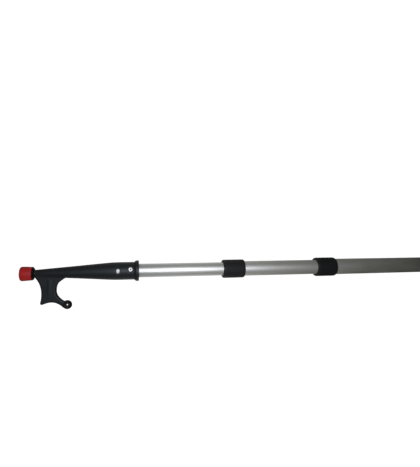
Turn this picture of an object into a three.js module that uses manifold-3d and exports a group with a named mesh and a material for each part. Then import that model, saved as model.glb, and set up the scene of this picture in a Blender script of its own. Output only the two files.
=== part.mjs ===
// Telescopic boat hook: three aluminium tubes that slide in one another, a moulded hook head with
// a soft nose bumper, two collars, and an eccentric twist lock on the rear end of each sliding tube.
//
// Units are millimetres. The pole lies along X with its centre line on the X axis. The nose points
// to -X, the hook arm hangs to -Z, and the origin is the centre of the flat butt face.
// Each telescoping section is a group with x = 0 at its own front shoulder.

import * as THREE from 'three';
import { mergeVertices } from 'three/addons/utils/BufferGeometryUtils.js';
import Module from 'manifold-3d';

const wasm = await Module();
wasm.setup();

// ---------------------------------------------------------------------------------------------
// Driving dimensions
// ---------------------------------------------------------------------------------------------

const ROUND = 32;                 // sides of a large turned surface
const SMALL_ROUND = 16;           // sides of a small turned surface or a hole
const GAP = 0.3;                  // clearance between pieces that fit together
const RUNNING_GAP = 0.15;         // clearance of a tube in its guide bush
const MERGE = 1e-4;               // distance under which two vertices are one
const CUT_OVER = 2;               // how far a cutter runs past the surface that it cuts
const SOFT_EDGE = 0.6;            // small chamfer that breaks an edge
const CURVE_STEPS = 8;            // segments of a curve in an extruded outline

const WALL = 1.2;                 // wall of every tube
const INNER_R = 11;               // 22 mm tube
const MIDDLE_R = 12.5;            // 25 mm tube
const OUTER_R = 14;               // 28 mm tube
const INNER_LENGTH = 710;
const MIDDLE_LENGTH = 720;
const OUTER_LENGTH = 740;

const INNER_EXPOSED = 138.7;      // bare tube between the head's flange and the front collar
const MIDDLE_EXPOSED = 133.3;     // bare tube between the two collars

// Collars: a ferrule on the front end of a tube, with a guide bush behind its lip.
const COLLAR_LENGTH = 37.4;
const COLLAR_CORNER = 2.4;
const FRONT_COLLAR_R = 15.45;
const REAR_COLLAR_R = 16.6;
const LIP_LENGTH = 2;
const LIP_CLEARANCE = 0.6;
const BUSH_LENGTH = 9.4;
const BUSH_WALL = 2.25;
const BUSH_LEAD_LENGTH = 0.8;     // lead-in cone at each end of a bush
const BUSH_LEAD_DEPTH = 0.5;
const TUBE_INSET = LIP_LENGTH + BUSH_LENGTH + 3 * GAP;

// Hook head, measured forward (-X) from the rear face of its flange.
const SOCKET_R = 14.15;           // outside of the straight socket
const SOCKET_DEPTH = 38.6;        // blind depth, and the length of the straight part
const FLANGE_R = 16.5;
const FLANGE_LENGTH = 4.6;
const FLANGE_SLOPE = 2.4;
const FLANGE_EDGE = 0.8;
const CONE_HOLLOW = 0.2;          // how far the cone's side is below a straight line half way
const NECK_R = 5.5;               // narrow end of the cone
const NECK_X = -154.9;
const RIM_REAR_X = -158;
const RIM_FRONT_X = -158.4;
const RIM_R = 10.4;
const SPIGOT_R = 6;               // peg inside the bumper
const SPIGOT_X = -168;
const SPIGOT_CHAMFER = 1;
const BEAD_R = 7;                 // bead that keeps the bumper on the peg
const BEAD_REAR_X = -163.8;
const BEAD_FRONT_X = -166.6;
const BEAD_SLOPE = 0.8;
const NOSE_X = -175.6;            // front of the bumper
const BUMPER_REAR_R = 10.25;
const BUMPER_FRONT_R = 11;
const BUMPER_CORNER = 2.3;
const DROOP = 1.45;               // how far the nose sags below the pole's centre line

// Hook arm and its ball tip, in the head's XZ plane.
const ARM_THICKNESS = 10;
const ARM_BEVEL = 1.6;
const BALL_X = -108.8;
const BALL_Z = -50.5;
const BALL_R = 7.05;
const BALL_SIDES = 24;
const BALL_RINGS = 14;
const BALL_FLATTEN = 0.86;
const BALL_HOLE_R = 1.7;

// Blind rivet and witness slot in the socket's side, each on a ray that tilts up from -Y.
const RIVET_TILT = THREE.MathUtils.degToRad(14);
const RIVET_X = -12.9;
const RIVET_SHANK_R = 2;
const RIVET_FLANGE_R = 3.6;
const RIVET_FLANGE_HEIGHT = 1.1;
const RIVET_SEAT = 13.65;         // radius of the flat seat under the rivet's flange
const RIVET_SEAT_GAP = 0.1;
const RIVET_BORE_R = 1.5;
const RIVET_BULB_R = 3;           // the part of the shank that the mandrel has swollen
const RIVET_BULB_LENGTH = 3;
const MANDREL_R = 1.15;
const MANDREL_HEAD_R = 1.5;
const MANDREL_HEAD_LENGTH = 1.3;
const MANDREL_SUNK = 1.1;         // how far the broken end lies below the rivet's face
const SLOT_X = -32.1;
const SLOT_TILT = THREE.MathUtils.degToRad(3.2);
const SLOT_WIDTH = 4.6;
const SLOT_LENGTH = 8.2;
const SLOT_FROM = 6.4;            // the cutter for the slot starts here, inside the tube's bore

// Twist lock: a plug in the tube's rear end, with an eccentric journal that carries a split ring.
const PLUG_DEPTH = 25;
const SHOULDER_LENGTH = 3;
const PLUG_CHAMFER = 1;
const JOURNAL_LENGTH = 16;
const JOURNAL_RATIO = 0.54;       // journal radius as a share of the radius of its tube
const ECCENTRICITY = 1;
const JOURNAL_CLEARANCE = 0.45;
const WASHER_THICKNESS = 1;
const WASHER_OVERLAP = 1.6;       // how far the washer stands out past the journal
const PIN_R = 1.5;
const PIN_SUNK = 0.2;
const PIN_FROM_END = 12;
const SCREW_R = 1.45;
const SCREW_LENGTH = 12;
const SCREW_HEAD_R = 3;
const SCREW_HEAD_LENGTH = 2.2;
const SCREW_TIP_LENGTH = 1.5;
const RECESS_DEPTH = 1.2;         // cross recess in the screw's head
const RECESS_WIDTH = 0.8;
const RECESS_SPAN = 3.4;
const ORING_R = 0.85;             // radius of the drag ring's section
const ORING_GAP = 0.1;
const ORING_GROOVE_DEPTH = 1.7;
const RING_SLIT = 1.6;

// Handle end: grip sleeve and end cap with a cross hole for a lanyard.
const GRIP_LENGTH = 150;
const GRIP_R = 16.9;
const GRIP_CORNER = 1.4;
const GRIP_GROOVE_DEPTH = 0.9;
const GRIP_GROOVE_WIDTH = 3;
const GRIP_BAND_INSET = 12;       // from each end of the grip to the groove beside its end band
const CAP_PLUG_DEPTH = 22;
const CAP_PLUG_WALL = 2.5;
const CAP_LENGTH = 21.4;
const CAP_FLANGE_LENGTH = 5;
const CAP_R = 16.9;
const CAP_BUTT_R = 11;
const CAP_CORNER = 1.6;
const CAP_PLUG_LEAD = [1.2, 0.8]; // length and depth of the lead-in on the plug's front end
const LANYARD_HOLE_R = 3;
const LANYARD_FROM_BUTT = 8.5;

const OUTER_TOTAL = TUBE_INSET + OUTER_LENGTH + GAP + CAP_LENGTH;

// ---------------------------------------------------------------------------------------------
// Materials
// ---------------------------------------------------------------------------------------------

function finish(color, roughness, metalness) {
  return () => new THREE.MeshStandardMaterial({ color, roughness, metalness });
}

const anodised = finish(0xb9bcc1, 0.32, 1);
const blackNylon = finish(0x24282d, 0.5, 0);
const collarPlastic = finish(0x222428, 0.45, 0);
const redRubber = finish(0xb0202a, 0.4, 0);
const gripRubber = finish(0x1c1d20, 0.75, 0);
const naturalNylon = finish(0xe4dfd0, 0.5, 0);
const rivetAluminium = finish(0xc4c8cc, 0.35, 1);
const steel = finish(0x8d9094, 0.35, 1);
const sealRubber = finish(0x17181a, 0.7, 0);

// ---------------------------------------------------------------------------------------------
// Geometry helpers
// ---------------------------------------------------------------------------------------------

// Merges shared vertices and drops the flat triangles that a profile leaves on its axis.
function closed(geometry) {
  const bare = geometry.clone();
  bare.deleteAttribute('normal');
  bare.deleteAttribute('uv');
  const merged = mergeVertices(bare, MERGE);
  const index = merged.getIndex().array;
  const kept = [];
  for (let i = 0; i < index.length; i += 3) {
    const [a, b, c] = [index[i], index[i + 1], index[i + 2]];
    if (a !== b && b !== c && c !== a) kept.push(a, b, c);
  }
  merged.setIndex(kept);
  return merged;
}

function toSolid(geometry) {
  const merged = closed(geometry);
  return new wasm.Manifold(new wasm.Mesh({
    numProp: 3,
    vertProperties: new Float32Array(merged.getAttribute('position').array),
    triVerts: new Uint32Array(merged.getIndex().array),
  }));
}

function toGeometry(solid) {
  const mesh = solid.getMesh();
  const geometry = new THREE.BufferGeometry();
  geometry.setAttribute('position', new THREE.BufferAttribute(mesh.vertProperties, 3));
  geometry.setIndex(new THREE.BufferAttribute(mesh.triVerts, 1));
  return geometry;
}

// Turns a profile of [x, radius] points about the X axis. The outside runs towards +X.
function turned(profile, sides = ROUND) {
  const points = profile.map(([x, r]) => new THREE.Vector2(r, x));
  return new THREE.LatheGeometry(points, sides).rotateZ(-Math.PI / 2);
}

// A profile that keeps off the axis closes on its first point.
function turnedLoop(profile, sides = ROUND) {
  return turned([...profile, profile[0]], sides);
}

// Points of a quarter arc in a profile, from one angle to another about a centre.
function arc(centreX, centreR, radius, fromDegrees, toDegrees, steps = 4) {
  const points = [];
  for (let i = 0; i <= steps; i += 1) {
    const angle = THREE.MathUtils.degToRad(fromDegrees + (toDegrees - fromDegrees) * i / steps);
    points.push([centreX + radius * Math.cos(angle), centreR + radius * Math.sin(angle)]);
  }
  return points;
}

// A rod along X from x0 to x1.
function rod(x0, x1, radius, sides = SMALL_ROUND) {
  return turned([[x0, 0], [x0, radius], [x1, radius], [x1, 0]], sides);
}

// A rod with its middle at the origin that lies along Z.
function uprightRod(length, radius) {
  return rod(-length / 2, length / 2, radius).rotateY(Math.PI / 2);
}

// Moves a piece drawn along X, with x as the distance from the centre line, to the rivet's ray.
function ontoRivetRay(geometry, x) {
  return geometry.rotateZ(-Math.PI / 2).rotateX(-RIVET_TILT).translate(x, 0, 0);
}

function cut(geometry, ...cutters) {
  let result = toSolid(geometry);
  for (const cutter of cutters) result = result.subtract(toSolid(cutter));
  return toGeometry(result);
}

function part(name, geometry, material) {
  const mesh = new THREE.Mesh(closed(geometry), material());
  mesh.name = name;
  return mesh;
}

function section(x, ...children) {
  const group = new THREE.Group();
  group.position.x = x;
  group.add(...children);
  return group;
}

// ---------------------------------------------------------------------------------------------
// Tubes
// ---------------------------------------------------------------------------------------------

function tube(x0, length, radius, ...cutters) {
  const x1 = x0 + length;
  const wall = turnedLoop([[x0, radius], [x1, radius], [x1, radius - WALL], [x0, radius - WALL]]);
  return cutters.length ? cut(wall, ...cutters) : wall;
}

// Cross hole near the rear end of a sliding tube, for the pin that holds its lock plug.
function pinHole(tubeEnd, tubeR) {
  return uprightRod(2 * (tubeR + CUT_OVER), PIN_R + GAP).translate(tubeEnd - PIN_FROM_END, 0, 0);
}

// Hole in the near wall of the inner tube, for the head's rivet.
function rivetHole(fromR, toR) {
  return ontoRivetRay(rod(fromR, toR, RIVET_SHANK_R + GAP), RIVET_X);
}

// ---------------------------------------------------------------------------------------------
// Twist lock
// ---------------------------------------------------------------------------------------------

// tubeEnd is the rear end of the tube that carries the lock; bore is the inside radius of the
// tube that it jams in.
function twistLock(prefix, tubeEnd, tubeR, bore) {
  const tubeBore = tubeR - WALL;
  const shoulder0 = tubeEnd + GAP;
  const journal0 = shoulder0 + SHOULDER_LENGTH;
  const journal1 = journal0 + JOURNAL_LENGTH;
  const journalR = tubeR * JOURNAL_RATIO;
  const ringR = bore - GAP;
  const screwHoleR = SCREW_R + GAP;
  const washer0 = journal1 + GAP / 2;
  const head0 = washer0 + WASHER_THICKNESS + GAP / 2;

  const barrel = turned([
    [tubeEnd - PLUG_DEPTH, 0],
    [tubeEnd - PLUG_DEPTH, tubeBore - GAP - PLUG_CHAMFER],
    [tubeEnd - PLUG_DEPTH + PLUG_CHAMFER, tubeBore - GAP],
    [shoulder0, tubeBore - GAP],
    [shoulder0, bore - 2 * GAP],
    [journal0, bore - 2 * GAP],
    [journal0, 0],
  ]);
  const journal = rod(journal0 - GAP, journal1, journalR, ROUND).translate(0, ECCENTRICITY, 0);
  const screwHole = rod(journal1 - SCREW_LENGTH, journal1 + CUT_OVER, screwHoleR);
  screwHole.translate(0, ECCENTRICITY, 0);
  const plug = toSolid(barrel).add(toSolid(journal))
    .subtract(toSolid(screwHole))
    .subtract(toSolid(pinHole(tubeEnd, tubeR)));

  const ring0 = journal0 + GAP;
  const ring1 = journal1 - GAP;
  const middle = (ring0 + ring1) / 2;
  const grooveHalf = ORING_R + GAP;
  const grooveR = ringR - ORING_GROOVE_DEPTH;
  const ringBody = turned([
    [ring0, 0], [ring0, ringR - SOFT_EDGE], [ring0 + SOFT_EDGE, ringR],
    [middle - grooveHalf, ringR], [middle - grooveHalf, grooveR],
    [middle + grooveHalf, grooveR], [middle + grooveHalf, ringR],
    [ring1 - SOFT_EDGE, ringR], [ring1, ringR - SOFT_EDGE], [ring1, 0],
  ]);
  const ringBore = rod(ring0 - CUT_OVER, ring1 + CUT_OVER, journalR + JOURNAL_CLEARANCE, ROUND);
  ringBore.translate(0, ECCENTRICITY, 0);
  const slit = new THREE.BoxGeometry(JOURNAL_LENGTH + CUT_OVER, bore, RING_SLIT);
  slit.translate(middle, -bore / 2 - ECCENTRICITY, 0);

  const oringCentre = bore - ORING_GAP - ORING_R;
  const oring = turnedLoop(arc(middle, oringCentre, ORING_R, 180, -135, CURVE_STEPS - 1));

  const washerR = journalR + WASHER_OVERLAP;
  const washer = turnedLoop([
    [washer0, washerR], [washer0 + WASHER_THICKNESS, washerR],
    [washer0 + WASHER_THICKNESS, screwHoleR], [washer0, screwHoleR],
  ]).translate(0, ECCENTRICITY, 0);

  const headEnd = head0 + SCREW_HEAD_LENGTH;
  const tip = headEnd - SCREW_LENGTH;
  const screwBody = turned([
    [tip, 0], [tip, SCREW_R - SOFT_EDGE], [tip + SCREW_TIP_LENGTH, SCREW_R],
    [head0, SCREW_R], [head0, SCREW_HEAD_R], [headEnd - SOFT_EDGE, SCREW_HEAD_R],
    [headEnd, SCREW_HEAD_R - SOFT_EDGE], [headEnd, 0],
  ], SMALL_ROUND);
  const across = new THREE.BoxGeometry(2 * RECESS_DEPTH, RECESS_WIDTH, RECESS_SPAN);
  const upright = new THREE.BoxGeometry(2 * RECESS_DEPTH, RECESS_SPAN, RECESS_WIDTH);
  const recess = [across, upright].map((slot) => slot.translate(headEnd, 0, 0));
  const screw = cut(screwBody, ...recess).translate(0, ECCENTRICITY, 0);

  const pin = uprightRod(2 * (tubeR - PIN_SUNK), PIN_R).translate(tubeEnd - PIN_FROM_END, 0, 0);

  return [
    part(`${prefix}_lock_plug`, toGeometry(plug), naturalNylon),
    part(`${prefix}_lock_pin`, pin, steel),
    part(`${prefix}_lock_ring`, cut(ringBody, ringBore, slit), naturalNylon),
    part(`${prefix}_lock_oring`, oring, sealRubber),
    part(`${prefix}_lock_washer`, washer, steel),
    part(`${prefix}_lock_screw`, screw, steel),
  ];
}

// ---------------------------------------------------------------------------------------------
// Collars
// ---------------------------------------------------------------------------------------------

// The ferrule on the front of a tube of radius ownR, through which a tube of radius slideR runs.
function collar(outerR, ownR, slideR) {
  const pocketR = slideR + RUNNING_GAP + BUSH_WALL + GAP;
  const step = LIP_LENGTH + BUSH_LENGTH + 2 * GAP;
  const corner = COLLAR_CORNER;
  const lipR = slideR + LIP_CLEARANCE;
  return turnedLoop([
    ...arc(corner, outerR - corner, corner, 180, 90),
    ...arc(COLLAR_LENGTH - corner, outerR - corner, corner, 90, 0),
    [COLLAR_LENGTH, ownR + GAP], [step, ownR + GAP], [step, pocketR],
    [LIP_LENGTH, pocketR], [LIP_LENGTH, lipR], [0, lipR],
  ]);
}

function guideBush(slideR) {
  const x0 = LIP_LENGTH + GAP;
  const x1 = x0 + BUSH_LENGTH;
  const inside = slideR + RUNNING_GAP;
  const mouth = inside + BUSH_LEAD_DEPTH;
  return turnedLoop([
    [x0, inside + BUSH_WALL], [x1, inside + BUSH_WALL], [x1, mouth],
    [x1 - BUSH_LEAD_LENGTH, inside], [x0 + BUSH_LEAD_LENGTH, inside], [x0, mouth],
  ]);
}

// ---------------------------------------------------------------------------------------------
// Head
// ---------------------------------------------------------------------------------------------

// Bends the head down ahead of the socket's blind end, by the full DROOP at the nose.
function droop(geometry) {
  const position = geometry.getAttribute('position');
  const start = -SOCKET_DEPTH;
  for (let i = 0; i < position.count; i += 1) {
    const reach = Math.max(0, start - position.getX(i)) / (start - NOSE_X);
    position.setZ(i, position.getZ(i) - DROOP * reach * Math.sqrt(reach));
  }
  return geometry;
}

function headBody() {
  const coneMiddle = [(NECK_X - SOCKET_DEPTH) / 2, (NECK_R + SOCKET_R) / 2 - CONE_HOLLOW];
  return droop(turned([
    [SPIGOT_X, 0], [SPIGOT_X, SPIGOT_R - SPIGOT_CHAMFER], [SPIGOT_X + SPIGOT_CHAMFER, SPIGOT_R],
    [BEAD_FRONT_X, SPIGOT_R], [BEAD_FRONT_X + BEAD_SLOPE, BEAD_R],
    [BEAD_REAR_X - BEAD_SLOPE, BEAD_R], [BEAD_REAR_X, SPIGOT_R],
    [RIM_FRONT_X, SPIGOT_R], [RIM_FRONT_X, RIM_R], [RIM_REAR_X, RIM_R],
    [NECK_X - SOFT_EDGE, NECK_R + SOFT_EDGE], [NECK_X + SOFT_EDGE, NECK_R], coneMiddle,
    [-SOCKET_DEPTH, SOCKET_R], [-FLANGE_LENGTH - FLANGE_SLOPE, SOCKET_R],
    [-FLANGE_LENGTH, FLANGE_R], [-FLANGE_EDGE, FLANGE_R], [0, FLANGE_R - FLANGE_EDGE], [0, 0],
  ]));
}

// Side view of the arm, from its root in the cone down to the ball.
function armShape() {
  const shape = new THREE.Shape();
  shape.moveTo(-154.6, -7.5);
  shape.quadraticCurveTo(-146.6, -17.5, -146.1, -30);
  shape.quadraticCurveTo(-145.8, -38.5, -147.7, -46);
  shape.quadraticCurveTo(-148.3, -49.8, -144.2, -49.3);
  shape.quadraticCurveTo(-138.3, -46.5, -131.8, -46.3);
  shape.quadraticCurveTo(-121.8, -46.4, -113.6, -56);
  shape.lineTo(BALL_X, BALL_Z);
  shape.lineTo(-113.3, -44.6);
  shape.quadraticCurveTo(-124.6, -37.5, -124.6, -28.5);
  shape.quadraticCurveTo(-124.6, -19.2, -120.8, -15.6);
  shape.lineTo(-111.8, -8.9);
  shape.lineTo(-111.4, -3);
  shape.lineTo(-154.6, -3);
  shape.closePath();
  return shape;
}

function arm() {
  const flat = new THREE.ExtrudeGeometry(armShape(), {
    depth: ARM_THICKNESS - 2 * ARM_BEVEL,
    curveSegments: CURVE_STEPS,
    bevelThickness: ARM_BEVEL,
    bevelSize: ARM_BEVEL,
    bevelOffset: -ARM_BEVEL,
    bevelSegments: 1,
  });
  flat.translate(0, 0, ARM_BEVEL - ARM_THICKNESS / 2);
  return flat.rotateX(Math.PI / 2);
}

function ball() {
  const sphere = new THREE.SphereGeometry(BALL_R, BALL_SIDES, BALL_RINGS).scale(1, BALL_FLATTEN, 1);
  return sphere.translate(BALL_X, 0, BALL_Z);
}

function ballHole() {
  const length = 2 * (BALL_R + CUT_OVER);
  return uprightRod(length, BALL_HOLE_R).rotateX(Math.PI / 2).translate(BALL_X, 0, BALL_Z);
}

// Oval slot across the socket's near wall, short of its far side.
function witnessSlot() {
  const end = (SLOT_LENGTH - SLOT_WIDTH) / 2;
  const radius = SLOT_WIDTH / 2;
  const shape = new THREE.Shape();
  shape.absarc(0, end, radius, 0, Math.PI, false);
  shape.absarc(0, -end, radius, Math.PI, 2 * Math.PI, false);
  shape.closePath();
  const depth = SOCKET_R;
  const slot = new THREE.ExtrudeGeometry(
    shape,
    { depth, curveSegments: CURVE_STEPS, bevelEnabled: false },
  );
  slot.rotateX(Math.PI / 2).translate(0, -SLOT_FROM, 0);
  return slot.rotateX(-SLOT_TILT).translate(SLOT_X, 0, 0);
}

function hookHead() {
  const socket = rod(-SOCKET_DEPTH, CUT_OVER, INNER_R + GAP, ROUND);
  const seatCutter = rod(RIVET_SEAT, FLANGE_R + CUT_OVER, RIVET_FLANGE_R + GAP);
  const solid = toSolid(headBody())
    .add(toSolid(arm()))
    .add(toSolid(ball()))
    .subtract(toSolid(ballHole()))
    .subtract(toSolid(socket))
    .subtract(toSolid(witnessSlot()))
    .subtract(toSolid(rivetHole(INNER_R - CUT_OVER, FLANGE_R)))
    .subtract(toSolid(ontoRivetRay(seatCutter, RIVET_X)));
  return toGeometry(solid);
}

function noseBumper() {
  const rear = RIM_FRONT_X - GAP;
  const corner = BUMPER_CORNER;
  return droop(turned([
    [NOSE_X, 0],
    ...arc(NOSE_X + corner, BUMPER_FRONT_R - corner, corner, 180, 90),
    [rear - SOFT_EDGE, BUMPER_REAR_R], [rear, BUMPER_REAR_R - SOFT_EDGE], [rear, SPIGOT_R + GAP],
    [BEAD_REAR_X + GAP, SPIGOT_R + GAP], [BEAD_REAR_X - GAP, BEAD_R + GAP],
    [BEAD_FRONT_X + BEAD_SLOPE - GAP, BEAD_R + GAP], [BEAD_FRONT_X - GAP, SPIGOT_R + GAP],
    [SPIGOT_X - GAP, SPIGOT_R + GAP], [SPIGOT_X - GAP, 0],
  ]));
}

// The rivet is drawn along X, with x as the distance from the pole's centre line.
function rivet() {
  const seat = RIVET_SEAT + RIVET_SEAT_GAP;
  const face = seat + RIVET_FLANGE_HEIGHT;
  const inside = INNER_R - WALL - GAP;
  const tail = inside - RIVET_BULB_LENGTH;
  return ontoRivetRay(turnedLoop([
    [tail, RIVET_BORE_R], [tail, RIVET_BULB_R - SOFT_EDGE],
    [(tail + inside) / 2, RIVET_BULB_R], [inside - GAP, RIVET_BULB_R - GAP],
    [inside, RIVET_SHANK_R], [seat, RIVET_SHANK_R], [seat, RIVET_FLANGE_R],
    [seat + GAP, RIVET_FLANGE_R], [(seat + GAP + face) / 2, RIVET_FLANGE_R - SOFT_EDGE],
    [face, RIVET_FLANGE_R - 2 * SOFT_EDGE], [face, RIVET_BORE_R],
  ], SMALL_ROUND), RIVET_X);
}

function mandrel() {
  const head1 = INNER_R - WALL - RIVET_BULB_LENGTH - 2 * GAP;
  const head0 = head1 - MANDREL_HEAD_LENGTH;
  const broken = RIVET_SEAT + RIVET_SEAT_GAP + RIVET_FLANGE_HEIGHT - MANDREL_SUNK;
  return ontoRivetRay(turned([
    [head0, 0], [head0, MANDREL_HEAD_R - SOFT_EDGE], [head0 + SOFT_EDGE, MANDREL_HEAD_R],
    [head1, MANDREL_HEAD_R], [head1, MANDREL_R], [broken - GAP, MANDREL_R], [broken, 0],
  ], SMALL_ROUND), RIVET_X);
}

// ---------------------------------------------------------------------------------------------
// Handle end
// ---------------------------------------------------------------------------------------------

function grip(x1) {
  const x0 = x1 - GRIP_LENGTH;
  const floor = GRIP_R - GRIP_GROOVE_DEPTH;
  const half = GRIP_GROOVE_WIDTH / 2;
  const profile = [[x0, GRIP_R - GRIP_CORNER], [x0 + GRIP_CORNER, GRIP_R]];
  for (const at of [x0 + GRIP_BAND_INSET, x1 - GRIP_BAND_INSET]) {
    profile.push([at - half, GRIP_R], [at - half, floor], [at + half, floor], [at + half, GRIP_R]);
  }
  profile.push([x1, GRIP_R], [x1, OUTER_R + GAP], [x0, OUTER_R + GAP]);
  return turnedLoop(profile);
}

function endCap(tubeEnd) {
  const x0 = tubeEnd + GAP;
  const butt = x0 + CAP_LENGTH;
  const plugR = OUTER_R - WALL - GAP;
  const front = tubeEnd - CAP_PLUG_DEPTH;
  const [leadLength, leadDepth] = CAP_PLUG_LEAD;
  const cap = turned([
    [x0, 0], [x0, plugR - CAP_PLUG_WALL], [front, plugR - CAP_PLUG_WALL],
    [front, plugR - leadDepth], [front + leadLength, plugR],
    [x0, plugR], [x0, CAP_R - SOFT_EDGE], [x0 + SOFT_EDGE, CAP_R],
    [x0 + CAP_FLANGE_LENGTH, CAP_R],
    ...arc(butt - CAP_CORNER, CAP_BUTT_R - CAP_CORNER, CAP_CORNER, 60, 0), [butt, 0],
  ]);
  const hole = uprightRod(2 * (CAP_R + CUT_OVER), LANYARD_HOLE_R);
  return cut(cap, hole.translate(butt - LANYARD_FROM_BUTT, 0, 0));
}

// ---------------------------------------------------------------------------------------------
// Assembly
// ---------------------------------------------------------------------------------------------

const outerEnd = TUBE_INSET + OUTER_LENGTH;
const middleEnd = TUBE_INSET + MIDDLE_LENGTH;
const innerStart = GAP - SOCKET_DEPTH;
const innerEnd = innerStart + INNER_LENGTH;

const outerX = -OUTER_TOTAL;
const middleX = outerX - MIDDLE_EXPOSED - COLLAR_LENGTH;
const innerX = middleX - INNER_EXPOSED;

const rearCollar = collar(REAR_COLLAR_R, OUTER_R, MIDDLE_R);
const outerSection = section(
  outerX,
  part('outer_tube', tube(TUBE_INSET, OUTER_LENGTH, OUTER_R), anodised),
  part('rear_collar', rearCollar, collarPlastic),
  part('rear_guide_bush', guideBush(MIDDLE_R), naturalNylon),
  part('handle_grip', grip(outerEnd - GAP), gripRubber),
  part('end_cap', endCap(outerEnd), collarPlastic),
);

const frontCollar = collar(FRONT_COLLAR_R, MIDDLE_R, INNER_R);
const middleTube = tube(TUBE_INSET, MIDDLE_LENGTH, MIDDLE_R, pinHole(middleEnd, MIDDLE_R));
const middleSection = section(
  middleX,
  part('middle_tube', middleTube, anodised),
  part('front_collar', frontCollar, collarPlastic),
  part('front_guide_bush', guideBush(INNER_R), naturalNylon),
  ...twistLock('middle', middleEnd, MIDDLE_R, OUTER_R - WALL),
);

const innerTube = tube(
  innerStart, INNER_LENGTH, INNER_R,
  pinHole(innerEnd, INNER_R),
  rivetHole(INNER_R - WALL - CUT_OVER, INNER_R + CUT_OVER),
);

const innerSection = section(
  innerX,
  part('hook_head', hookHead(), blackNylon),
  part('nose_bumper', noseBumper(), redRubber),
  part('head_rivet', rivet(), rivetAluminium),
  part('rivet_mandrel', mandrel(), steel),
  part('inner_tube', innerTube, anodised),
  ...twistLock('inner', innerEnd, INNER_R, MIDDLE_R - WALL),
);

const boatHook = new THREE.Group();
boatHook.add(outerSection, middleSection, innerSection);

export default boatHook;
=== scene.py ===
"""Telescopic boat hook: the visible pieces, their materials, and a plain white studio."""
import math

import bmesh
import bpy
import numpy as np
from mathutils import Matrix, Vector


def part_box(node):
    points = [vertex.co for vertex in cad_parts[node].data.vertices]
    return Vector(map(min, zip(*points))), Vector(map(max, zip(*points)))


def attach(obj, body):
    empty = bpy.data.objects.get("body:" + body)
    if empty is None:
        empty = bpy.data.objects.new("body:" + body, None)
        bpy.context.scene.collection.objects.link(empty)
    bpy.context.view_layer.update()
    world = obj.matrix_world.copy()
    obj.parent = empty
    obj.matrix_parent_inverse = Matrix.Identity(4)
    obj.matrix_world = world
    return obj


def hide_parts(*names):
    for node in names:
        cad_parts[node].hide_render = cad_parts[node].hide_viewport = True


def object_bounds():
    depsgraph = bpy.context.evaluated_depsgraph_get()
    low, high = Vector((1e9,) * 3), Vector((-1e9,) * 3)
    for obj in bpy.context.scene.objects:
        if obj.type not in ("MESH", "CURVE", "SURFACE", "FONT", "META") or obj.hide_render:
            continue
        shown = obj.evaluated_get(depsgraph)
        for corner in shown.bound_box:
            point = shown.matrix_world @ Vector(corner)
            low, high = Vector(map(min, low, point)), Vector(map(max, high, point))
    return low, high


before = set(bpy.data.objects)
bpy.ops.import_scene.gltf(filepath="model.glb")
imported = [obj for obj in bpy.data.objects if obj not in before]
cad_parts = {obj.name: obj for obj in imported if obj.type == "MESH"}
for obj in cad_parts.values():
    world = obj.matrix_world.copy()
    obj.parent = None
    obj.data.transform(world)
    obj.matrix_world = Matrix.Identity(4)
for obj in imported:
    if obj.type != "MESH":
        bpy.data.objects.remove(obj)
CAD_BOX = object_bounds()

# --------------------------------------------------------------------------------------------
# Dimensions. Lengths are in millimetres until a mesh is made; places come from the frame.
# --------------------------------------------------------------------------------------------

MM = 0.001
FLANGE_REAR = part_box("hook_head")[1].x / MM       # rear face of the head's flange
FRONT_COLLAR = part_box("front_collar")[0].x / MM   # front faces of the collars
REAR_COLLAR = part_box("rear_collar")[0].x / MM

ROUND = 128                    # sides of a turned piece
INNER_R, MIDDLE_R, OUTER_R = 11.0, 12.5, 14.0
WALL = 1.2
GAP = 0.3                      # clearance between pieces that fit together
SHARP = math.radians(38)       # edges that turn more than this are shaded as corners

SOCKET_R = 14.15
SOCKET_DEPTH = 38.6
BORE_R = 11.3
FLANGE_R = 16.5
FLANGE_X = (-7.2, -4.6)        # foot and top of the flange's front slope
NECK_R = 5.5
CONE_HOLLOW = 0.2              # how far the cone is below a straight side half way along
NECK_X = -154.9
RIM_R = 10.4
RIM_X = (-158.4, -158.0)
SPIGOT_R = 6.0
SPIGOT_X = -168.0
NOSE_X = -175.6
BUMPER_R = (11.0, 10.92, 10.25)  # at its front, near it, and at its rear
BUMPER_BELLY_X = -170.0
BUMPER_CORNER = 2.3
DROOP = 1.45

PITCH = 0.55                   # grid on which the head's skin is found
MARGIN = 2.0                   # the grid reaches this far past the head,
FIELD_BOTTOM = -62.0           # and down to here, below the ball

ARM_HALF = (5.0, 3.9)          # half thickness of the arm at its root and at its foot
ARM_ROUND = 2.4
ARM_FILLET = 1.7
RIDGE_X = -134.0               # low rounded ridge down the middle of the arm's faces
RIDGE_WIDTH = 2.6
RIDGE_HEIGHT = 0.25
BALL = (-108.8, 0.0, -50.5)
BALL_R = 7.05
BALL_FLATTEN = 0.86
BALL_HOLE_R = 1.7

RIVET_TILT = math.radians(14)  # how far round from the near side, upwards
RIVET_X = -12.9
RIVET_SEAT = 13.65
RIVET_FLANGE_R = 3.6
RIVET_FLANGE_HEIGHT = 1.1
RIVET_SHANK_R = 2.0
RIVET_BORE_R = 1.5
RIVET_BULB = (6.5, 8.0, 9.5)   # rear, widest and front of the swollen part of the shank
RIVET_BULB_R = 3.0
MANDREL_R = 1.15
MANDREL_HEAD_R = 1.5
MANDREL_HEAD = (4.9, 6.2)      # rear and front of the mandrel's head
SLOT_X = -32.1
SLOT_TILT = math.radians(3.2)
SLOT_HALF = (1.8, 2.3)         # half length of the slot's straight part, and its end radius
SCOOP_RISE = 8.4               # a shallow lead-in above the slot ends this far up from its middle
SCOOP_R = 2.7                  # radius of the lead-in's section
SCOOP_LIFT = 1.3               # its centre is this far outside the socket, where it starts
CUT_FROM = 6.0                 # slot and rivet hole are cut from here outwards, inside the bore

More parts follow.
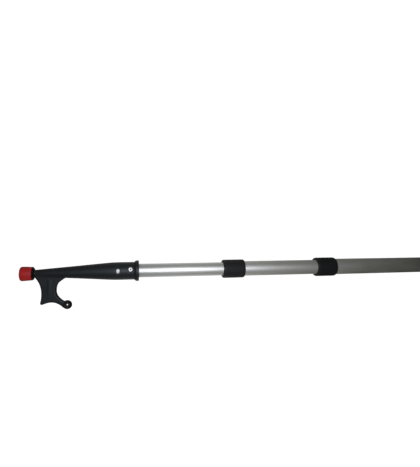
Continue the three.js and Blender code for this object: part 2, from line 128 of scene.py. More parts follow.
COLLAR_LENGTH = 37.4
FRONT_COLLAR_R = 15.45
REAR_COLLAR_R = 16.6
COLLAR_LIP = 2.0
COLLAR_STEP = 12.0             # depth at which the tube that carries the collar stops
COLLAR_EASE = 3.4              # length over which the ends of the collar fall away
POCKET = 2.7                   # room for the bush round the sliding tube
LIP_CLEARANCE = 0.6
BUSH_X = (2.3, 11.7)
BUSH_WALL = 2.25
RUNNING_GAP = 0.15

GRIP_BAND = 12.0               # plain band at each end of the grip
GRIP_PITCH = 6.3
GRIP_RING_WIDTH = 2.2
GRIP_RING_HEIGHT = 1.0
CAP_LENGTH = 21.4
CAP_FLANGE_LENGTH = 5.0
CAP_BUTT_R = 11.0
CAP_PLUG_R = (10.0, 12.5)      # inside and outside of the plug
LANYARD_HOLE_R = 3.0
LANYARD_FROM_BUTT = 8.5


# --------------------------------------------------------------------------------------------
# Mesh helpers
# --------------------------------------------------------------------------------------------

def make_object(name, vertices, faces):
    """A mesh object from points in millimetres, smooth except along sharp corners."""
    mesh = bpy.data.meshes.new(name)
    mesh.from_pydata((np.asarray(vertices, float) * MM).tolist(), [], faces)
    mesh.validate()
    made = bpy.data.objects.new(name, mesh)
    bpy.context.scene.collection.objects.link(made)
    shade(made)
    return made


def shade(made):
    bm = bmesh.new()
    bm.from_mesh(made.data)
    bmesh.ops.recalc_face_normals(bm, faces=bm.faces)
    for face in bm.faces:
        face.smooth = True
    for edge in bm.edges:
        edge.smooth = len(edge.link_faces) == 2 and edge.calc_face_angle(0) < SHARP
    bm.to_mesh(made.data)
    bm.free()


def rounded(corners, steps=6):
    """A closed outline of (x, r, radius) corners with each corner rounded to its radius."""
    points = []
    count = len(corners)
    for i, (x, r, radius) in enumerate(corners):
        here = Vector((x, r))
        if radius <= 0:
            points.append((x, r))
            continue
        before = Vector(corners[i - 1][:2]) - here
        after = Vector(corners[(i + 1) % count][:2]) - here
        half = before.angle(after) / 2
        back = radius / math.tan(half)
        start = here + before.normalized() * back
        end = here + after.normalized() * back
        centre = here + (before.normalized() + after.normalized()).normalized() * (
            radius / math.sin(half)
        )
        first = math.atan2(start.y - centre.y, start.x - centre.x)
        last = math.atan2(end.y - centre.y, end.x - centre.x)
        turn = (last - first + math.pi) % (2 * math.pi) - math.pi
        for k in range(steps + 1):
            angle = first + turn * k / steps
            points.append(
                (centre.x + radius * math.cos(angle), centre.y + radius * math.sin(angle))
            )
    return points


def lathe(name, outline, sides=ROUND, place=None, bend=None):
    """Turns a closed outline of (x, r) points about X. A point with r = 0 is on the axis."""
    vertices, rings = [], []
    for x, r in outline:
        if r <= 0:
            rings.append([len(vertices)])
            vertices.append((x, 0.0, 0.0))
            continue
        rings.append(list(range(len(vertices), len(vertices) + sides)))
        for k in range(sides):
            angle = 2 * math.pi * k / sides
            vertices.append((x, r * math.cos(angle), r * math.sin(angle)))
    faces = []
    for a, b in zip(rings, rings[1:] + rings[:1]):
        if len(a) == 1 and len(b) == 1:
            continue
        for k in range(sides):
            n = (k + 1) % sides
            if len(a) == 1:
                faces.append((a[0], b[k], b[n]))
            elif len(b) == 1:
                faces.append((a[k], b[0], a[n]))
            else:
                faces.append((a[k], b[k], b[n], a[n]))
    points = np.array(vertices)
    if bend:
        points = bend(points)
    if place:
        points = place(points)
    return make_object(name, points, faces)


def shifted(x):
    return lambda points: points + np.array([x, 0.0, 0.0])


def onto_rivet_ray(x):
    """Turns a piece drawn along X onto the ray through the rivet in the socket's side."""
    def place(points):
        out, across, up = points[:, 0], points[:, 1], points[:, 2]
        y = -out * math.cos(RIVET_TILT) + up * math.sin(RIVET_TILT)
        z = out * math.sin(RIVET_TILT) + up * math.cos(RIVET_TILT)
        return np.stack([across + x + FLANGE_REAR, y, z], axis=1)
    return place


# --------------------------------------------------------------------------------------------
# Head: one smooth skin round a distance field
# --------------------------------------------------------------------------------------------

def sag(x):
    """How far the head's centre line hangs below the pole's, at x."""
    reach = np.clip(-SOCKET_DEPTH - x, 0, None) / (-SOCKET_DEPTH - NOSE_X)
    return DROOP * reach ** 1.5


def outline_distance(outline, x, z):
    """Signed distance from points to a closed outline, negative inside."""
    points = np.asarray(outline, float)
    shape = x.shape
    px, pz = x.ravel(), z.ravel()
    nearest = np.full(px.shape, 1e9)
    inside = np.zeros(px.shape, bool)
    for (ax, az), (bx, bz) in zip(points, np.roll(points, -1, axis=0)):
        ex, ez = bx - ax, bz - az
        along = np.clip(((px - ax) * ex + (pz - az) * ez) / (ex * ex + ez * ez), 0, 1)
        nearest = np.minimum(
            nearest, (px - ax - along * ex) ** 2 + (pz - az - along * ez) ** 2
        )
        crosses = (az > pz) != (bz > pz)
        if ez:
            inside ^= crosses & (px < ax + (pz - az) * ex / ez)
    return (np.sqrt(nearest) * np.where(inside, -1, 1)).reshape(shape)


class Field:
    """The distance to an outline, kept on a fine flat grid so that it is quick to look up."""

    PITCH = 0.2

    def __init__(self, outline, margin=8.0):
        points = np.asarray(outline, float)
        self.low = points.min(0) - margin
        size = np.ceil((points.max(0) + margin - self.low) / self.PITCH).astype(int) + 1
        self.size = size
        xs = self.low[0] + np.arange(size[0]) * self.PITCH
        zs = self.low[1] + np.arange(size[1]) * self.PITCH
        grid_x, grid_z = np.meshgrid(xs, zs, indexing="ij")
        self.values = outline_distance(outline, grid_x, grid_z)

    def __call__(self, x, z):
        u = np.clip((x - self.low[0]) / self.PITCH, 0, self.size[0] - 1.001)
        v = np.clip((z - self.low[1]) / self.PITCH, 0, self.size[1] - 1.001)
        i, j = u.astype(int), v.astype(int)
        fu, fv = u - i, v - j
        g = self.values
        low = g[i, j] * (1 - fu) + g[i + 1, j] * fu
        high = g[i, j + 1] * (1 - fu) + g[i + 1, j + 1] * fu
        beyond = np.hypot(
            x - np.clip(x, self.low[0], self.low[0] + (self.size[0] - 1) * self.PITCH),
            z - np.clip(z, self.low[1], self.low[1] + (self.size[1] - 1) * self.PITCH),
        )
        return low * (1 - fv) + high * fv + beyond


def join(a, b, radius):
    """Union of two distances with a fillet between them."""
    h = np.clip(radius - np.abs(a - b), 0, None) / radius
    return np.minimum(a, b) - h * h * radius / 4


def carve(a, b, radius):
    """Takes b out of a, with the edge eased."""
    return -join(-a, b, radius)


def curve(start, control, end, steps=14):
    """Points of a quadratic curve, without its last one."""
    a, b, c = (np.array(p, float) for p in (start, control, end))
    t = np.linspace(0, 1, steps, endpoint=False)[:, None]
    return ((1 - t) ** 2 * a + 2 * t * (1 - t) * b + t * t * c).tolist()


def head_profile():
    middle = ((NECK_X - SOCKET_DEPTH) / 2, (NECK_R + SOCKET_R) / 2 - CONE_HOLLOW)
    return rounded([
        (SPIGOT_X, -20, 0), (SPIGOT_X, SPIGOT_R, 0.8), (RIM_X[0], SPIGOT_R, 0),
        (RIM_X[0], RIM_R, 0.35), (RIM_X[1], RIM_R, 0.5), (NECK_X, NECK_R, 1.6),
        (middle[0], middle[1], 200), (-SOCKET_DEPTH, SOCKET_R, 250),
        (FLANGE_X[0], SOCKET_R, 1.2), (FLANGE_X[1], FLANGE_R, 0.9), (0, FLANGE_R, 0.8),
        (0, -20, 0),
    ])


def arm_outline():
    points = []
    points += curve((-154.6, -7.5), (-146.6, -17.5), (-146.1, -30))
    points += curve((-146.1, -30), (-145.8, -38.5), (-147.7, -46))
    points += curve((-147.7, -46), (-148.3, -49.8), (-144.2, -49.3))
    points += curve((-144.2, -49.3), (-138.3, -46.5), (-131.8, -46.3))
    points += curve((-131.8, -46.3), (-121.8, -46.4), (-113.6, -56))
    points += [(BALL[0], BALL[2])]
    points += curve((-113.3, -44.6), (-124.6, -37.5), (-124.6, -28.5))
    points += curve((-124.6, -28.5), (-124.6, -19.2), (-120.8, -15.6))
    points += [(-120.8, -15.6), (-111.8, -8.9), (-111.4, -3), (-154.6, -3)]
    return points


def arm_half_thickness(x, z):
    """Half the arm's thickness: it thins towards its foot, with a low ridge down it."""
    fall = np.clip((-8 - z) / 42, 0, 1)
    half = ARM_HALF[0] + (ARM_HALF[1] - ARM_HALF[0]) * fall
    lean = RIDGE_X - 1.5 * fall
    fade = np.clip((z + 40) / 12, 0, 1) * np.clip((-9 - z) / 3, 0, 1)
    return half + RIDGE_HEIGHT * fade * np.exp(-(((x - lean) / RIDGE_WIDTH) ** 2))


def side_view(y, z, tilt):
    """Distance out along a ray that tilts up from the near side, and distance across it."""
    out = -y * math.cos(tilt) + z * math.sin(tilt)
    up = y * math.sin(tilt) + z * math.cos(tilt)
    return out, up


def head_distance(body, arm_side, x, y, z):
    turned = body(x, np.hypot(y, z + sag(x)))
    flat = np.abs(y) - arm_half_thickness(x, z)
    edge = np.stack([arm_side(x, z) + ARM_ROUND, flat + ARM_ROUND])
    arm = np.linalg.norm(np.clip(edge, 0, None), axis=0) + np.clip(edge.max(0), None, 0)
    arm -= ARM_ROUND
    scale = np.array([BALL_R, BALL_R * BALL_FLATTEN, BALL_R])
    offset = [x - BALL[0], y - BALL[1], z - BALL[2]]
    unit = sum((o / s) ** 2 for o, s in zip(offset, scale)) ** 0.5
    steep = sum((o / s ** 2) ** 2 for o, s in zip(offset, scale)) ** 0.5
    ball = unit * (unit - 1) / np.maximum(steep, 1e-6)
    result = join(turned, join(arm, ball, 1.2), ARM_FILLET)

    hole_r = np.hypot(x - BALL[0], z - BALL[2])
    countersink = (hole_r - BALL_HOLE_R - np.clip(np.abs(y) - 4.3, 0, None) * 0.9) * 0.8
    result = carve(result, countersink, 0.5)
    bore = np.maximum(np.hypot(y, z) - BORE_R, -SOCKET_DEPTH - x)
    result = carve(result, bore, 0.3)
    out, up = side_view(y, z, SLOT_TILT)
    stadium = np.hypot(x - SLOT_X, np.clip(np.abs(up) - SLOT_HALF[0], 0, None))
    slot = np.maximum(stadium - SLOT_HALF[1], CUT_FROM - out)
    result = carve(result, slot, 0.6)
    climb = (up - SLOT_HALF[0]) / (SCOOP_RISE - SLOT_HALF[0])
    lift = SCOOP_LIFT + (SCOOP_R - SCOOP_LIFT) * climb
    scoop = np.hypot(x - SLOT_X, np.hypot(y, z) - SOCKET_R - lift) - SCOOP_R
    scoop = np.maximum(scoop, np.maximum(-up, -out))
    result = carve(result, scoop, 0.5)
    out, up = side_view(y, z, RIVET_TILT)
    from_rivet = np.hypot(x - RIVET_X, up)
    seat = np.maximum(from_rivet - RIVET_FLANGE_R - GAP, RIVET_SEAT - out)
    result = carve(result, seat, 0.4)
    hole = np.maximum(from_rivet - RIVET_SHANK_R - GAP, CUT_FROM - out)
    return carve(result, hole, 0.3)


def surface_nets(values, low, pitch):
    """Quads round the surface where a grid of values is zero, and their vertices."""
    inside = values < 0
    nx, ny, nz = (n - 1 for n in values.shape)
    corners = [(i, j, k) for i in (0, 1) for j in (0, 1) for k in (0, 1)]
    count = sum(
        inside[i:i + nx, j:j + ny, k:k + nz].astype(np.int8) for i, j, k in corners
    )
    active = (count > 0) & (count < 8)
    number = np.full((nx, ny, nz), -1)
    number[active] = np.arange(int(active.sum()))
    cells = np.argwhere(active)
    total, hits = np.zeros(cells.shape), np.zeros(len(cells))
    for a in corners:
        for axis in range(3):
            if a[axis]:
                continue
            b = list(a)
            b[axis] = 1
            va = values[tuple((cells + a).T)]
            vb = values[tuple((cells + b).T)]
            crossing = (va < 0) != (vb < 0)
            share = np.where(crossing, va / np.where(crossing, va - vb, 1), 0)
            point = np.array(a, float) + share[:, None] * (np.array(b) - np.array(a))
            total += point * crossing[:, None]
            hits += crossing
    vertices = low + pitch * (cells + total / hits[:, None])
    faces = []
    for axis in range(3):
        u, v = [np.eye(3, dtype=int)[(axis + n) % 3] for n in (1, 2)]
        step = np.eye(3, dtype=int)[axis]
        start = u + v
        end = np.array(values.shape) - 1
        here = np.argwhere(np.ones(tuple(end - start), bool)) + start
        a = inside[tuple(here.T)]
        b = inside[tuple((here + step).T)]
        here, a = here[a != b], a[a != b]
        ring = [number[tuple((here - s).T)] for s in (u + v, v, 0 * u, u)]
        quads = np.stack(ring, axis=1)
        quads[~a] = quads[~a][:, ::-1]
        faces += quads.tolist()
    return vertices, faces


def settle(vertices, distance, rounds=4, probe=0.04, limit=0.3):
    """Moves vertices onto the surface where distance is zero."""
    for _ in range(rounds):
        here = distance(*vertices.T)
        slope = np.stack([
            (distance(*(vertices + d).T) - distance(*(vertices - d).T)) / (2 * probe)
            for d in np.eye(3) * probe
        ], axis=1)
        steep = np.maximum((slope ** 2).sum(1), 0.2)
        move = slope * (here / steep)[:, None]
        vertices = vertices - np.clip(move, -limit, limit)
    return vertices


def make_head():
    body = Field(head_profile())
    arm_side = Field(arm_outline())
    pitch = PITCH
    low = np.array([SPIGOT_X - MARGIN, -FLANGE_R - MARGIN, FIELD_BOTTOM])
    high = np.array([MARGIN, FLANGE_R + MARGIN, FLANGE_R + MARGIN])
    axes = [np.arange(a, b, pitch) for a, b in zip(low, high)]
    grid = np.meshgrid(*axes, indexing="ij")

    def distance(x, y, z):
        return head_distance(body, arm_side, x, y, z)

    vertices, faces = surface_nets(distance(*grid), low, pitch)
    vertices = settle(vertices, distance)
    vertices[:, 0] = np.minimum(vertices[:, 0], 0) + FLANGE_REAR
    return make_object("hook_head_skin", vertices, faces)


# --------------------------------------------------------------------------------------------
# Turned pieces
# --------------------------------------------------------------------------------------------

def bent_to_head(points):
    points = points.copy()
    points[:, 2] -= sag(points[:, 0])
    return points


def make_bumper():
    front_r, belly_r, rear_r = BUMPER_R
    rear, hollow_r, hollow_end = RIM_X[0] - GAP, SPIGOT_R + GAP, SPIGOT_X - GAP
    outline = rounded([
        (NOSE_X, 0, 0), (NOSE_X, front_r, BUMPER_CORNER), (BUMPER_BELLY_X, belly_r, 40),
        (rear, rear_r, 0.5), (rear, hollow_r, 0), (hollow_end, hollow_r, 0.6),
        (hollow_end, 0, 0),
    ])
    return lathe(
        "nose_bumper_skin", outline, place=shifted(FLANGE_REAR), bend=bent_to_head
    )


def make_rivet():
    seat = RIVET_SEAT + 0.1
    face = seat + RIVET_FLANGE_HEIGHT
    bore, shank, bulb = RIVET_BORE_R, RIVET_SHANK_R, RIVET_BULB_R
    rear, widest, front = RIVET_BULB
    outline = rounded([
        (rear, bore, 0.1), (rear, bulb - 0.6, 0.3), (widest, bulb, 0.5),
        (front - 0.2, bulb - 0.3, 0.3), (front, shank, 0), (seat, shank, 0),
        (seat, RIVET_FLANGE_R, 0.15), (seat + 0.4, RIVET_FLANGE_R, 0.25), (face, 2.5, 0.7),
        (face, bore, 0.25),
    ])
    return lathe("head_rivet_body", outline, sides=64, place=onto_rivet_ray(RIVET_X))


def make_mandrel():
    rear, front = MANDREL_HEAD
    outline = rounded([
        (rear, 0, 0), (rear, MANDREL_HEAD_R, 0.4), (front, MANDREL_HEAD_R, 0.2),
        (front, MANDREL_R, 0), (RIVET_SEAT + 0.1, MANDREL_R, 0.2),
        (RIVET_SEAT - 0.2, 0.5, 0.2), (RIVET_SEAT - 0.1, 0, 0),
    ])
    return lathe("rivet_mandrel_stub", outline, sides=48, place=onto_rivet_ray(RIVET_X))


def make_tube(name, radius):
    low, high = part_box(name)
    x0, x1 = low.x / MM, high.x / MM
    outline = rounded([
        (x0, radius, 0.3), (x1, radius, 0.3), (x1, radius - WALL, 0.3),
        (x0, radius - WALL, 0.3),
    ], steps=3)
    return lathe(name + "_drawn", outline)


def make_collar(name, x0, radius, own_r, slide_r):
    """A moulded ferrule: a lip round the sliding tube, and eased ends."""
    end, seat_r = COLLAR_LENGTH, own_r + GAP
    pocket_r, lip_r = slide_r + POCKET, slide_r + LIP_CLEARANCE
    outline = rounded([
        (0, radius - 0.2, 2.2), (COLLAR_EASE, radius, 30), (end - COLLAR_EASE, radius, 30),
        (end, radius - 0.25, 2.0), (end, seat_r, 0.4), (COLLAR_STEP, seat_r, 0),
        (COLLAR_STEP, pocket_r, 0), (COLLAR_LIP, pocket_r, 0), (COLLAR_LIP, lip_r, 0.3),
        (0, lip_r, 0.5),
    ], steps=8)
    return lathe(name, outline, place=shifted(x0))


def make_bush(name, x0, slide_r):
    inside, (front, rear) = slide_r + RUNNING_GAP, BUSH_X
    outline = rounded([
        (front, inside + BUSH_WALL, 0.3), (rear, inside + BUSH_WALL, 0.3),
        (rear, inside, 0.6), (front, inside, 0.6),
    ])
    return lathe(name, outline, place=shifted(x0))


def make_grip():
    """A rubber sleeve with raised rings between two plain bands."""
    low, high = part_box("handle_grip")
    x0, x1 = low.x / MM, high.x / MM
    top, inside = high.z / MM, OUTER_R + GAP
    floor = top - GRIP_RING_HEIGHT
    corners = [(x0, top, 1.4)]
    first, last, half = x0 + GRIP_BAND, x1 - GRIP_BAND, GRIP_RING_WIDTH / 2
    rings = int((last - first) // GRIP_PITCH)
    for i in range(rings + 1):
        at = first + (last - first) * i / rings
        corners += [(at - half, top, 0.5), (at - half + 0.5, floor, 0.4)]
        corners += [(at + half - 0.5, floor, 0.4), (at + half, top, 0.5)]
    corners += [(x1, top, 0.8), (x1, inside, 0.3), (x0, inside, 0.5)]
    return lathe("handle_grip_sleeve", rounded(corners, steps=3))


def make_cap():
    """End cap: plug, flange, tapered tail with a flat butt, and a cross hole."""
    low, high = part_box("end_cap")
    x0, x1, flange_r = low.x / MM, high.x / MM, high.z / MM
    shoulder, (hollow_r, plug_r) = x1 - CAP_LENGTH, CAP_PLUG_R
    outline = rounded([
        (shoulder, 0, 0), (shoulder, hollow_r, 0), (x0, hollow_r, 0.4), (x0, plug_r, 0.8),
        (shoulder, plug_r, 0.2), (shoulder, flange_r, 0.6),
        (shoulder + CAP_FLANGE_LENGTH, flange_r, 1.6), (x1, CAP_BUTT_R, 1.6), (x1, 0, 0),
    ])
    cap = lathe("end_cap_moulding", outline)
    reach, hole_r = 30, LANYARD_HOLE_R
    drill = lathe(
        "drill", [(-reach, 0), (-reach, hole_r), (reach, hole_r), (reach, 0)], sides=48
    )
    drill.rotation_euler.y = math.pi / 2
    drill.location.x = (x1 - LANYARD_FROM_BUTT) * MM
    cut_with(cap, drill)
    shade(cap)
    return cap


def cut_with(piece, cutter):
    modifier = piece.modifiers.new("cut", "BOOLEAN")
    modifier.object = cutter
    modifier.solver = "EXACT"
    apply_modifiers(piece)
    bpy.data.objects.remove(cutter)


def apply_modifiers(piece):
    graph = bpy.context.evaluated_depsgraph_get()
    mesh = bpy.data.meshes.new_from_object(piece.evaluated_get(graph))
    piece.modifiers.clear()
    piece.data = mesh


# --------------------------------------------------------------------------------------------
# Materials
# --------------------------------------------------------------------------------------------

class Shader:
    """A Principled material, and short ways to add texture nodes to it."""

    def __init__(self, name, color, roughness, metallic=0.0, **uniform):
        self.material = bpy.data.materials.new(name)
        self.material.use_nodes = True
        self.tree = self.material.node_tree
        self.shader = self.tree.nodes["Principled BSDF"]
        self.shader.inputs["Base Color"].default_value = (*color, 1)
        self.shader.inputs["Roughness"].default_value = roughness
        self.shader.inputs["Metallic"].default_value = metallic
        for socket, value in uniform.items():
            self.shader.inputs[socket.replace("_", " ")].default_value = value
        self.place = self.add("ShaderNodeTexCoord").outputs["Object"]
        self.bumped = None

    def add(self, kind, **values):
        node = self.tree.nodes.new(kind)
        for key, value in values.items():
            setattr(node, key, value)
        return node

    def noise(self, size, detail=3, stretch=(1, 1, 1), roughness=0.55):
        """Noise with features of about size millimetres, longer where stretch is small."""
        mapping = self.add("ShaderNodeMapping")
        mapping.inputs["Scale"].default_value = [s / (size * MM) for s in stretch]
        self.tree.links.new(self.place, mapping.inputs["Vector"])
        node = self.add("ShaderNodeTexNoise")
        node.inputs["Scale"].default_value = 1
        node.inputs["Detail"].default_value = detail
        node.inputs["Roughness"].default_value = roughness
        self.tree.links.new(mapping.outputs["Vector"], node.inputs["Vector"])
        return node.outputs["Fac"]

    def spread(self, value, low, high, to_low, to_high):
        node = self.add("ShaderNodeMapRange")
        for key, number in zip(
            ("From Min", "From Max", "To Min", "To Max"), (low, high, to_low, to_high)
        ):
            node.inputs[key].default_value = number
        self.tree.links.new(value, node.inputs["Value"])
        return node.outputs["Result"]

    def math(self, operation, a, b):
        node = self.add("ShaderNodeMath", operation=operation)
        for socket, value in zip(node.inputs, (a, b)):
            if isinstance(value, (int, float)):
                socket.default_value = value
            else:
                self.tree.links.new(value, socket)
        return node.outputs["Value"]

    def colors(self, factor, first, second):
        node = self.add("ShaderNodeMix", data_type="RGBA")
        self.tree.links.new(factor, node.inputs["Factor"])
        node.inputs["A"].default_value = (*first, 1)
        node.inputs["B"].default_value = (*second, 1)
        self.tree.links.new(node.outputs["Result"], self.shader.inputs["Base Color"])

    def rough(self, value):
        self.tree.links.new(value, self.shader.inputs["Roughness"])

    def bump(self, height, depth):
        """Adds relief of depth millimetres."""
        node = self.add("ShaderNodeBump")
        node.inputs["Strength"].default_value = 1.0
        node.inputs["Distance"].default_value = depth * MM
        self.tree.links.new(height, node.inputs["Height"])
        if self.bumped:
            self.tree.links.new(self.bumped, node.inputs["Normal"])
        self.bumped = node.outputs["Normal"]
        self.tree.links.new(self.bumped, self.shader.inputs["Normal"])


def anodised_aluminium():
    s = Shader("anodised_aluminium", (0.55, 0.556, 0.576), 0.52, 1.0)
    drawn = s.noise(0.22, 4, (0.006, 1, 1))
    cloud = s.noise(24, 3, (0.35, 1, 1))
    scuffs = s.noise(1.1, 5, (0.12, 1, 1), 0.7)
    base = s.spread(drawn, 0.3, 0.7, 0.46, 0.54)
    worn = s.spread(scuffs, 0.62, 0.75, 0.0, -0.12)
    s.rough(s.math("ADD", s.math("ADD", base, worn), s.spread(cloud, 0.3, 0.7, -0.03, 0.03)))
    s.colors(s.spread(cloud, 0.3, 0.7, 0, 1), (0.525, 0.533, 0.555), (0.575, 0.58, 0.598))
    s.bump(drawn, 0.004)
    return s.material


def moulded_black(name, color, roughness, grain, specular):
    s = Shader(
        name, color, roughness, Specular_IOR_Level=specular, Specular_Tint=(0.8, 0.9, 1.0, 1.0)
    )
    fine = s.noise(grain, 3)
    flow = s.noise(11, 3, (0.4, 1, 1))
    rubs = s.noise(2.4, 5, (0.5, 1, 1), 0.7)
    lighter = tuple(c * 1.35 for c in color)
    s.colors(s.spread(flow, 0.3, 0.75, 0, 1), color, lighter)
    base = s.spread(flow, 0.3, 0.7, roughness - 0.05, roughness + 0.05)
    s.rough(s.math("ADD", base, s.spread(rubs, 0.5, 0.8, 0.0, 0.06)))
    s.bump(fine, 0.035)
    s.bump(flow, 0.12)
    return s.material


def red_vinyl():
    s = Shader("red_vinyl", (0.38, 0.007, 0.008), 0.55, Specular_IOR_Level=0.3)
    cloud = s.noise(7, 3)
    scuffs = s.noise(1.6, 5, (1, 1, 1), 0.7)
    s.colors(s.spread(cloud, 0.3, 0.7, 0, 1), (0.35, 0.0062, 0.0076), (0.41, 0.0078, 0.0086))
    base = s.spread(cloud, 0.3, 0.7, 0.52, 0.6)
    s.rough(s.math("ADD", base, s.spread(scuffs, 0.6, 0.7, 0, 0.15)))
    s.bump(s.noise(0.5, 2), 0.02)
    s.bump(cloud, 0.1)
    return s.material


def grip_rubber():
    s = Shader("grip_rubber", (0.026, 0.026, 0.028), 0.72)
    fine = s.noise(0.35, 3)
    dust = s.noise(9, 4)
    s.colors(s.spread(dust, 0.4, 0.75, 0, 1), (0.024, 0.024, 0.026), (0.04, 0.04, 0.041))
    s.rough(s.spread(dust, 0.3, 0.7, 0.66, 0.8))
    s.bump(fine, 0.05)
    return s.material


def bright_metal(name, color, roughness):
    s = Shader(name, color, roughness, 1.0)
    marks = s.noise(0.4, 4, (1, 1, 1), 0.65)
    s.rough(s.spread(marks, 0.3, 0.7, roughness - 0.08, roughness + 0.08))
    tarnish = tuple(c * 0.86 for c in color)
    s.colors(s.spread(marks, 0.35, 0.7, 0, 1), color, tarnish)
    s.bump(marks, 0.015)
    return s.material


def natural_nylon():
    s = Shader("natural_nylon", (0.72, 0.68, 0.58), 0.48, Subsurface_Weight=0.1)
    s.shader.inputs["Subsurface Scale"].default_value = 0.8 * MM
    cloud = s.noise(5, 3)
    s.colors(s.spread(cloud, 0.3, 0.7, 0, 1), (0.72, 0.68, 0.58), (0.66, 0.62, 0.51))
    s.rough(s.spread(cloud, 0.3, 0.7, 0.42, 0.54))
    s.bump(s.noise(0.3, 2), 0.02)
    return s.material


def seal_rubber():
    s = Shader("seal_rubber", (0.012, 0.012, 0.013), 0.6)
    cloud = s.noise(2, 3)
    s.colors(s.spread(cloud, 0.3, 0.7, 0, 1), (0.011, 0.011, 0.012), (0.02, 0.02, 0.02))
    s.rough(s.spread(cloud, 0.3, 0.7, 0.52, 0.68))
    s.bump(s.noise(0.2, 2), 0.015)
    return s.material


# --------------------------------------------------------------------------------------------
# Studio and camera
# --------------------------------------------------------------------------------------------

CAMERA_SIDE = -0.1             # millimetres from the flange's middle: along the pole,
CAMERA_BACK = 577.2            # out from it,
CAMERA_UP = 59.9               # and above its centre line
CAMERA_YAW = math.radians(11.75)
FLANGE_MIDDLE = -2.6
LENS = 26.98
FLOOR_DROP = 0.9

KEY_ALONG = 14.0               # the key light: along the pole from the flange, out, and up
KEY_BACK = 620.0
KEY_UP = 66.0
KEY_WIDTH = 130.0
KEY_HEIGHT = 460.0
KEY_POWER = 0.88
KEY_SPREAD = math.radians(95)  # it fades off to both sides, as a hooded light does
SURROUND_WARMTH = 1.6
SURROUND = {                   # brightness of the room along each axis of the direction
    "X": (
        (-1, 0.6), (-0.5, 0.25), (-0.2, 0.45), (0, 1.58), (0.1, 1.63), (0.25, 0.56),
        (0.32, 0.0), (0.5, 0.0), (0.88, 0.0), (1, 0.7),
    ),
    "Y": ((-1, 0.32), (0.1, 0.36), (0.6, 0.66), (1, 0.68)),
    "Z": ((-1, 1.6), (-0.5, 1.25), (0, 0.98), (0.5, 1.1), (1, 1.3)),
}


def add_camera():
    data = bpy.data.cameras.new("camera")
    data.lens = LENS
    data.sensor_width = 36
    data.clip_start = 0.01
    data.clip_end = 50
    camera = bpy.data.objects.new("camera", data)
    bpy.context.scene.collection.objects.link(camera)
    x = FLANGE_REAR + FLANGE_MIDDLE + CAMERA_SIDE
    camera.location = Vector((x, -CAMERA_BACK, CAMERA_UP)) * MM
    camera.rotation_euler = (math.pi / 2, 0, -CAMERA_YAW)
    bpy.context.scene.camera = camera


def add_panel(name, place, target, size, power):
    data = bpy.data.lights.new(name, "AREA")
    data.shape = "RECTANGLE"
    data.size, data.size_y = size
    data.energy = power
    light = bpy.data.objects.new(name, data)
    light.location = place
    light.rotation_euler = (Vector(target) - Vector(place)).to_track_quat("-Z", "Y").to_euler()
    bpy.context.scene.collection.objects.link(light)
    return light


def add_world():
    """White to the camera. As a light it is bright behind the pole and dim to the far right."""
    world = bpy.data.worlds.new("studio")
    bpy.context.scene.world = world
    world.use_nodes = True
    tree = world.node_tree
    tree.nodes.clear()
    link = tree.links.new
    split = tree.nodes.new("ShaderNodeSeparateXYZ")
    link(tree.nodes.new("ShaderNodeTexCoord").outputs["Generated"], split.inputs[0])

    def ramp(source, stops, warmth=0.0):
        """Brightness along one axis of the direction, from -1 to 1, warmer towards 1."""
        shift = tree.nodes.new("ShaderNodeMapRange")
        shift.inputs["From Min"].default_value = -1
        link(source, shift.inputs["Value"])
        node = tree.nodes.new("ShaderNodeValToRGB")
        while len(node.color_ramp.elements) < len(stops):
            node.color_ramp.elements.new(0.5)
        for element, (at, value) in zip(node.color_ramp.elements, stops):
            element.position = (at + 1) / 2
            element.color = (value, value, value * (1 - warmth * max(at, 0)), 1)
        link(shift.outputs["Result"], node.inputs["Fac"])
        return node.outputs["Color"]

    def multiply(a, b):
        node = tree.nodes.new("ShaderNodeVectorMath")
        node.operation = "MULTIPLY"
        link(a, node.inputs[0])
        link(b, node.inputs[1])
        return node.outputs["Vector"]

    surround = tree.nodes.new("ShaderNodeBackground")
    shade_of = [
        ramp(split.outputs[axis], stops, SURROUND_WARMTH if axis == "X" else 0.0)
        for axis, stops in SURROUND.items()
    ]
    link(multiply(multiply(shade_of[0], shade_of[1]), shade_of[2]), surround.inputs["Color"])
    seen = tree.nodes.new("ShaderNodeBackground")
    seen.inputs["Strength"].default_value = 1.05
    seen.inputs["Color"].default_value = (1, 1, 1, 1)
    mix = tree.nodes.new("ShaderNodeMixShader")
    link(tree.nodes.new("ShaderNodeLightPath").outputs["Is Camera Ray"], mix.inputs["Fac"])
    link(surround.outputs[0], mix.inputs[1])
    link(seen.outputs[0], mix.inputs[2])
    link(mix.outputs[0], tree.nodes.new("ShaderNodeOutputWorld").inputs["Surface"])


def add_floor():
    """A wide pale floor far below the pole, out of the reflections."""
    low, high = CAD_BOX
    centre = (low + high) / 2
    bm = bmesh.new()
    bmesh.ops.create_circle(bm, cap_ends=True, radius=6, segments=96)
    mesh = bpy.data.meshes.new("floor")
    bm.to_mesh(mesh)
    bm.free()
    floor = bpy.data.objects.new("floor", mesh)
    floor.location = (centre.x, centre.y, low.z - FLOOR_DROP)
    bpy.context.scene.collection.objects.link(floor)
    s = Shader("floor_paper", (0.9, 0.9, 0.9), 0.9)
    s.shader.inputs["Emission Color"].default_value = (1, 1, 1, 1)
    s.shader.inputs["Emission Strength"].default_value = 0.9
    mesh.materials.append(s.material)
    floor.visible_glossy = False
    floor.visible_diffuse = False


def light_studio():
    """One soft light beside the camera, as wide as its distance asks for."""
    target = Vector((FLANGE_REAR + KEY_ALONG, 0, 0)) * MM
    place = Vector((FLANGE_REAR + KEY_ALONG, -KEY_BACK, KEY_UP)) * MM
    key = add_panel("key", place, target, (KEY_WIDTH * MM, KEY_HEIGHT * MM), KEY_POWER)
    key.data.spread = KEY_SPREAD


# --------------------------------------------------------------------------------------------
# Assembly
# --------------------------------------------------------------------------------------------

bpy.context.scene.view_settings.view_transform = "Standard"
add_camera()
add_world()
add_floor()
light_studio()

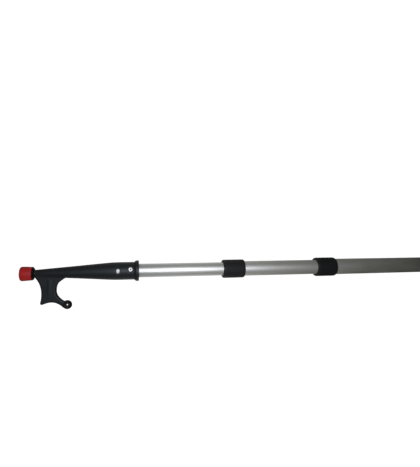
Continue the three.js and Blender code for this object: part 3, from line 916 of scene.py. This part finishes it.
aluminium = anodised_aluminium()
head_black = moulded_black("head_nylon", (0.0064, 0.0074, 0.009), 0.47, 0.28, 0.27)
collar_black = moulded_black("collar_plastic", (0.0143, 0.0143, 0.0162), 0.47, 0.22, 0.17)
red = red_vinyl()
grip_black = grip_rubber()
rivet_metal = bright_metal("rivet_metal", (0.66, 0.67, 0.7), 0.5)
# Dark steel for the mandrel and the locks' fasteners. On the mandrel the darkness is partly the
# steel's own colour and partly painted shade for the rivet's hollow centre.
steel = bright_metal("fastener_steel", (0.16, 0.16, 0.165), 0.45)
nylon = natural_nylon()
seal = seal_rubber()


def dress(piece, node, body, material):
    """Puts a finished piece on its body in place of its CAD node."""
    piece.data.materials.clear()
    piece.data.materials.append(material)
    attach(piece, body)
    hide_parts(node)


def keep(node, material):
    """Gives a carried-over CAD node its material."""
    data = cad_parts[node].data
    data.materials.clear()
    data.materials.append(material)


dress(make_head(), "hook_head", "inner", head_black)
dress(make_bumper(), "nose_bumper", "inner", red)
dress(make_rivet(), "head_rivet", "inner", rivet_metal)
# The mandrel's dark colour is partly painted shade in the rivet's hollow centre.
dress(make_mandrel(), "rivet_mandrel", "inner", steel)
dress(make_tube("inner_tube", INNER_R), "inner_tube", "inner", aluminium)
dress(make_tube("middle_tube", MIDDLE_R), "middle_tube", "middle", aluminium)
dress(make_tube("outer_tube", OUTER_R), "outer_tube", "outer", aluminium)
dress(
    make_collar("front_collar_moulding", FRONT_COLLAR, FRONT_COLLAR_R, MIDDLE_R, INNER_R),
    "front_collar", "middle", collar_black,
)
dress(
    make_collar("rear_collar_moulding", REAR_COLLAR, REAR_COLLAR_R, OUTER_R, MIDDLE_R),
    "rear_collar", "outer", collar_black,
)
dress(
    make_bush("front_guide_bush_ring", FRONT_COLLAR, INNER_R),
    "front_guide_bush", "middle", nylon,
)
dress(
    make_bush("rear_guide_bush_ring", REAR_COLLAR, MIDDLE_R),
    "rear_guide_bush", "outer", nylon,
)
dress(make_grip(), "handle_grip", "outer", grip_black)
dress(make_cap(), "end_cap", "outer", collar_black)

for lock in ("inner", "middle"):
    keep(f"{lock}_lock_plug", nylon)
    keep(f"{lock}_lock_ring", nylon)
    keep(f"{lock}_lock_oring", seal)
    keep(f"{lock}_lock_pin", steel)
    keep(f"{lock}_lock_washer", steel)
    keep(f"{lock}_lock_screw", steel)
